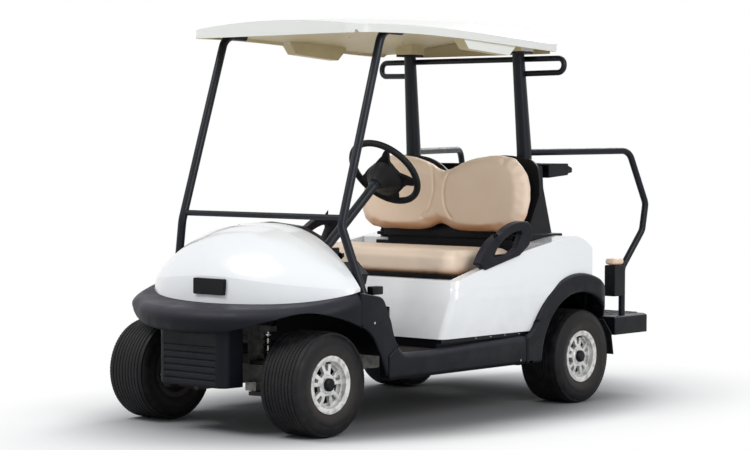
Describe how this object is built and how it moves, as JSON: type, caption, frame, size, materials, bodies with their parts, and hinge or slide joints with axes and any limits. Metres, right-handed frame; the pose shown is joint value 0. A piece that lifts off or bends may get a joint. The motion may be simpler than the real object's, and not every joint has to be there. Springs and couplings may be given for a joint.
{
  "type": "two-seat golf cart with rear step",
  "caption": "Electric golf cart with bench, canopy on bent struts, front bumper and hood, steered front wheels and a rear step with grab rails.",
  "frame": {"origin": "middle of the cart's length and width, on the ground", "axes": "front faces -Y, driver's (left) side +X, up +Z"},
  "size_m": [1.2, 2.64, 1.735],
  "materials": {
    "gloss_body": "gloss moulded white",
    "charcoal_moulding": "satin grained charcoal",
    "black_tube": "black powder coat",
    "wheel_grip": "soft black urethane",
    "seat_vinyl": "tan marine vinyl",
    "tyre_rubber": "turf tread rubber",
    "flap_rubber": "plain black rubber",
    "silver_wheel": "silver painted alloy",
    "frame_metal": "dull box section",
    "running_gear": "black chassis paint",
    "battery_case": "moulded battery case"
  },
  "bodies": {
    "chassis": {"front_cowl": "gloss_body", "rear_body": "gloss_body", "canopy": "gloss_body", "front_bumper": "charcoal_moulding", "cowl_side_panels": "charcoal_moulding", "side_sills": "charcoal_moulding", "rear_wheel_flares": "charcoal_moulding", "floor_pan": "charcoal_moulding", "dashboard": "charcoal_moulding", "lower_front_cover": "charcoal_moulding", "badge_plate": "charcoal_moulding", "seat_back_shell": "charcoal_moulding", "seat_back_support": "charcoal_moulding", "bag_well": "charcoal_moulding", "rear_platform": "charcoal_moulding", "bag_holder": "charcoal_moulding", "hip_restraints": "charcoal_moulding", "sand_boxes": "charcoal_moulding", "front_struts": "black_tube", "rear_struts": "black_tube", "canopy_hand_rail": "black_tube", "grab_rails": "black_tube", "steering_column": "black_tube", "seat_back_cushion": "seat_vinyl", "sand_box_lids": "seat_vinyl", "mud_flaps": "flap_rubber", "pedals": "flap_rubber", "chassis_frame": "frame_metal", "transaxle": "running_gear", "rear_springs": "running_gear", "shock_absorbers": "running_gear", "front_suspension": "running_gear", "coil_dampers": "running_gear", "steering_rack": "running_gear", "battery_pack": "battery_case"},
    "steering": {"steering_wheel": "wheel_grip"},
    "left_steer": {"left_knuckle": "running_gear"},
    "right_steer": {"right_knuckle": "running_gear"},
    "left_rod": {"left_tie_rod": "running_gear"},
    "right_rod": {"right_tie_rod": "running_gear"},
    "seat": {"seat_cushion": "seat_vinyl", "seat_base_plate": "charcoal_moulding"},
    "front_left_wheel": {"tyre_front_left": "tyre_rubber", "rim_front_left": "silver_wheel"},
    "front_right_wheel": {"tyre_front_right": "tyre_rubber", "rim_front_right": "silver_wheel"},
    "rear_left_wheel": {"tyre_rear_left": "tyre_rubber", "rim_rear_left": "silver_wheel"},
    "rear_right_wheel": {"tyre_rear_right": "tyre_rubber", "rim_rear_right": "silver_wheel"}
  },
  "joints": [
    {"name": "steering_turn", "type": "hinge", "parent": "chassis", "child": "steering", "pos_m": [0.25, -0.328, 1.054], "axis": [0, 0.7694, 0.6388], "range_deg": [-420, 420]},
    {"name": "left_steer", "type": "hinge", "parent": "chassis", "child": "left_steer", "pos_m": [0.3, -0.99, 0.213], "axis": [0, 0, 1], "range_deg": [-28, 28]},
    {"name": "left_rod_pivot", "type": "hinge", "parent": "left_steer", "child": "left_rod", "pos_m": [0.285, -0.895, 0.322], "axis": [0, 0, 1], "range_deg": [-28, 28]},
    {"name": "front_left_spin", "type": "hinge", "parent": "left_steer", "child": "front_left_wheel", "pos_m": [0.438, -0.99, 0.213], "axis": [1, 0, 0], "continuous": true},
    {"name": "rear_left_spin", "type": "hinge", "parent": "chassis", "child": "rear_left_wheel", "pos_m": [0.489, 0.674, 0.213], "axis": [1, 0, 0], "continuous": true},
    {"name": "right_steer", "type": "hinge", "parent": "chassis", "child": "right_steer", "pos_m": [-0.3, -0.99, 0.213], "axis": [0, 0, 1], "range_deg": [-28, 28]},
    {"name": "right_rod_pivot", "type": "hinge", "parent": "right_steer", "child": "right_rod", "pos_m": [-0.285, -0.895, 0.322], "axis": [0, 0, 1], "range_deg": [-28, 28]},
    {"name": "front_right_spin", "type": "hinge", "parent": "right_steer", "child": "front_right_wheel", "pos_m": [-0.438, -0.99, 0.213], "axis": [1, 0, 0], "continuous": true},
    {"name": "rear_right_spin", "type": "hinge", "parent": "chassis", "child": "rear_right_wheel", "pos_m": [-0.489, 0.674, 0.213], "axis": [1, 0, 0], "continuous": true},
    {"name": "seat_lift", "type": "hinge", "parent": "chassis", "child": "seat", "pos_m": [0, 0.322, 0.606], "axis": [-1, 0, 0], "range_deg": [0, 60]}
  ],
  "couplings": [
    {"joint": "left_steer", "follows": "steering_turn", "ratio": 0.066667},
    {"joint": "left_rod_pivot", "follows": "steering_turn", "ratio": -0.066667},
    {"joint": "right_steer", "follows": "steering_turn", "ratio": 0.066667},
    {"joint": "right_rod_pivot", "follows": "steering_turn", "ratio": -0.066667}
  ]
}
